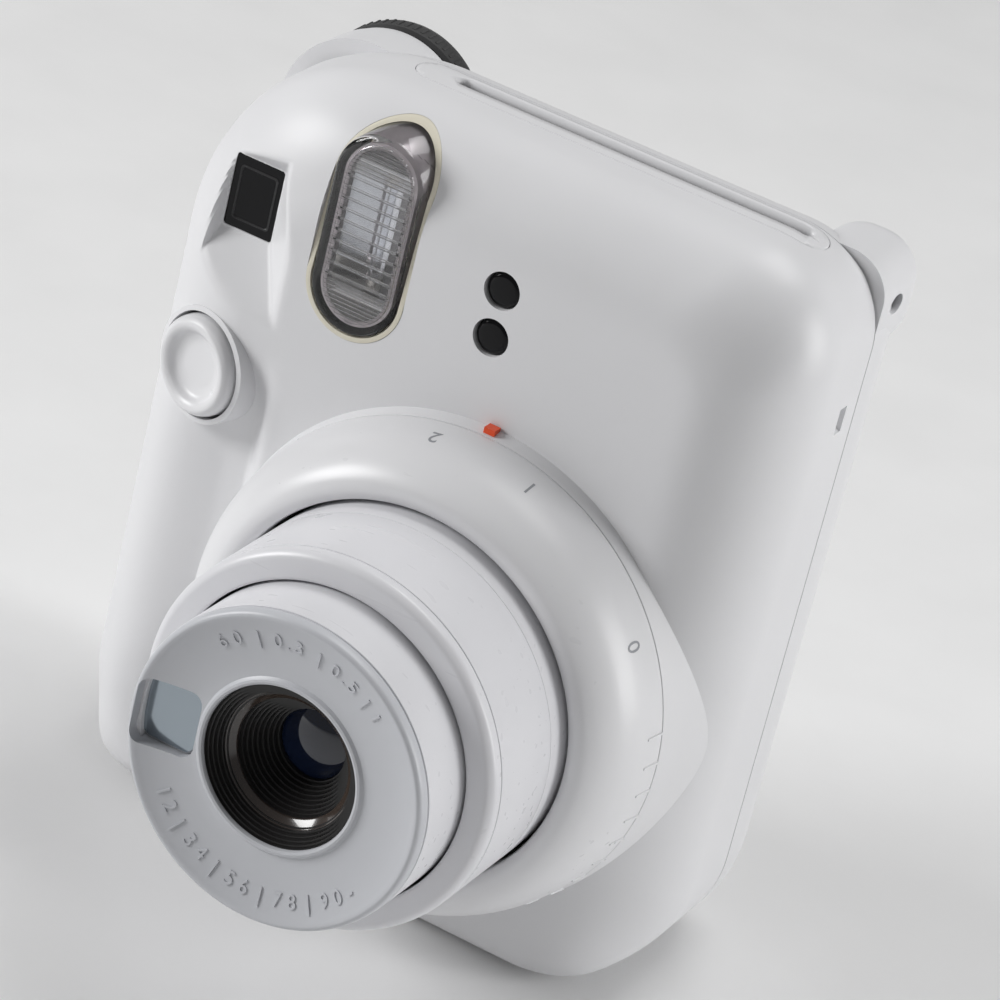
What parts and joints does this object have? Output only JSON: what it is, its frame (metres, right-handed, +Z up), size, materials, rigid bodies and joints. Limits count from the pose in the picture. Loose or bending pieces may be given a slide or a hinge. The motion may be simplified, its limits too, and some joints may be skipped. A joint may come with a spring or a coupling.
{
  "type": "instant camera",
  "caption": "Instant film camera with an extending twist-dial lens, ribbed flash window, side grip, rear eyepiece and a swinging film door.",
  "frame": {"origin": "under the middle of the camera, on the plane that its feet stand on", "axes": "+Z up, -Y the way the lens looks, +X to the right seen from the front"},
  "size_m": [0.1042, 0.097, 0.122],
  "materials": {
    "shell": "satin fine-grained",
    "trim": "satin",
    "barrel": "satin",
    "plate": "satin",
    "black": "matte",
    "gloss_black": "glossy",
    "mark": "glossy",
    "mirror": "polished",
    "glass": "clear",
    "flash_glass": "clear, ribbed inside",
    "reflector": "bright",
    "rubber": "matte",
    "gasket": "matte cream",
    "steel": "satin",
    "nickel": "bright",
    "gear": "natural",
    "board": "varnished",
    "cell": "printed sleeve",
    "film": "glossy",
    "foot": "matte"
  },
  "bodies": {
    "camera_body": {"front_cover": "shell", "rear_cover": "shell", "feet": "foot", "index_mark": "mark", "lens_guide_tube": "black", "viewfinder_window": "gloss_black", "viewfinder_tunnel": "black", "eyepiece_lens": "glass", "eyecup": "rubber", "flash_window": "flash_glass", "flash_gasket": "gasket", "flash_reflector": "reflector", "flash_tube": "glass", "flash_capacitor": "film", "metering_window": "gloss_black", "flash_sensor_window": "gloss_black", "film_slot_insert": "trim", "film_chamber": "black", "film_pack": "film", "film_sheets": "film", "battery_holder": "black", "batteries": "cell", "battery_contacts": "nickel", "main_board": "board", "shutter_switch": "black", "shutter_spring": "steel", "hinge_pins": "steel", "roller_bracket": "steel", "idler_axle": "steel", "eject_motor": "steel", "counter_post": "black", "counter_window": "glass", "case_screws": "nickel"},
    "lens_dial": {"lens_dial": "trim", "dial_sleeve": "black"},
    "outer_barrel": {"outer_barrel": "barrel", "outer_barrel_cap": "barrel"},
    "lens_unit": {"inner_barrel": "barrel", "front_plate": "plate", "selfie_mirror": "mirror", "lens_hood": "black", "shutter_housing": "black", "front_lens": "glass", "rear_lens": "glass"},
    "shutter_blade_right": {"shutter_blade_right": "steel"},
    "shutter_blade_left": {"shutter_blade_left": "steel"},
    "shutter_button": {"shutter_button": "trim"},
    "battery_cover": {"battery_cover": "shell"},
    "back_door": {"back_door": "shell", "film_window": "gloss_black", "pressure_springs": "steel"},
    "door_latch": {"door_latch": "trim"},
    "drive_roller": {"drive_roller": "steel", "roller_gear": "gear"},
    "pressure_roller": {"pressure_roller": "steel"},
    "idler_gear": {"idler_gear": "gear"},
    "motor_pinion": {"motor_pinion": "gear"},
    "counter_disc": {"counter_disc": "black"}
  },
  "joints": [
    {"name": "dial_turn", "type": "hinge", "parent": "camera_body", "child": "lens_dial", "pos_m": [0.0103, -0.01, 0.0465], "axis": [0, -1, 0], "range_deg": [0, 58]},
    {"name": "outer_barrel_slide", "type": "slide", "parent": "camera_body", "child": "outer_barrel", "axis": [0, 1, 0], "range_m": [0, 0.0206]},
    {"name": "lens_unit_slide", "type": "slide", "parent": "camera_body", "child": "lens_unit", "axis": [0, 1, 0], "range_m": [0, 0.031]},
    {"name": "blade_right_turn", "type": "hinge", "parent": "lens_unit", "child": "shutter_blade_right", "pos_m": [0.0189, -0.0304, 0.0465], "axis": [0, -1, 0], "range_deg": [0, 31]},
    {"name": "blade_left_turn", "type": "hinge", "parent": "lens_unit", "child": "shutter_blade_left", "pos_m": [0.0017, -0.0304, 0.0465], "axis": [0, -1, 0], "range_deg": [0, 31]},
    {"name": "shutter_press", "type": "slide", "parent": "camera_body", "child": "shutter_button", "axis": [0.3007, 0.9537, 0], "range_m": [0, 0.0014], "stiffness_N_per_m": 700},
    {"name": "battery_cover_lift", "type": "slide", "parent": "camera_body", "child": "battery_cover", "axis": [-1, 0, 0], "range_m": [0, 0.015]},
    {"name": "door_swing", "type": "hinge", "parent": "camera_body", "child": "back_door", "pos_m": [0.0463, 0.0414, 0.0535], "axis": [0, 0, -1], "range_deg": [0, 105]},
    {"name": "latch_slide", "type": "slide", "parent": "back_door", "child": "door_latch", "axis": [0, 0, -1], "range_m": [0, 0.003], "stiffness_N_per_m": 300},
    {"name": "drive_roller_spin", "type": "hinge", "parent": "camera_body", "child": "drive_roller", "pos_m": [0.0103, 0.01795, 0.1045], "axis": [1, 0, 0], "continuous": true},
    {"name": "pressure_roller_spin", "type": "hinge", "parent": "camera_body", "child": "pressure_roller", "pos_m": [0.0103, 0.02505, 0.1045], "axis": [1, 0, 0], "continuous": true},
    {"name": "idler_spin", "type": "hinge", "parent": "camera_body", "child": "idler_gear", "pos_m": [0.0453, 0.02404, 0.09044], "axis": [1, 0, 0], "continuous": true},
    {"name": "pinion_spin", "type": "hinge", "parent": "camera_body", "child": "motor_pinion", "pos_m": [0.0453, 0.0106, 0.0932], "axis": [1, 0, 0], "continuous": true},
    {"name": "counter_turn", "type": "hinge", "parent": "camera_body", "child": "counter_disc", "pos_m": [-0.0335, 0.0394, 0.074], "axis": [0, 1, 0], "range_deg": [0, 324]}
  ],
  "couplings": [
    {"joint": "outer_barrel_slide", "follows": "dial_turn", "m_per_rad": 0.020348},
    {"joint": "lens_unit_slide", "follows": "dial_turn", "m_per_rad": 0.030621},
    {"joint": "blade_left_turn", "follows": "blade_right_turn", "ratio": 1},
    {"joint": "pressure_roller_spin", "follows": "drive_roller_spin", "ratio": -1},
    {"joint": "idler_spin", "follows": "drive_roller_spin", "ratio": -0.58333},
    {"joint": "pinion_spin", "follows": "drive_roller_spin", "ratio": 1.4}
  ]
}
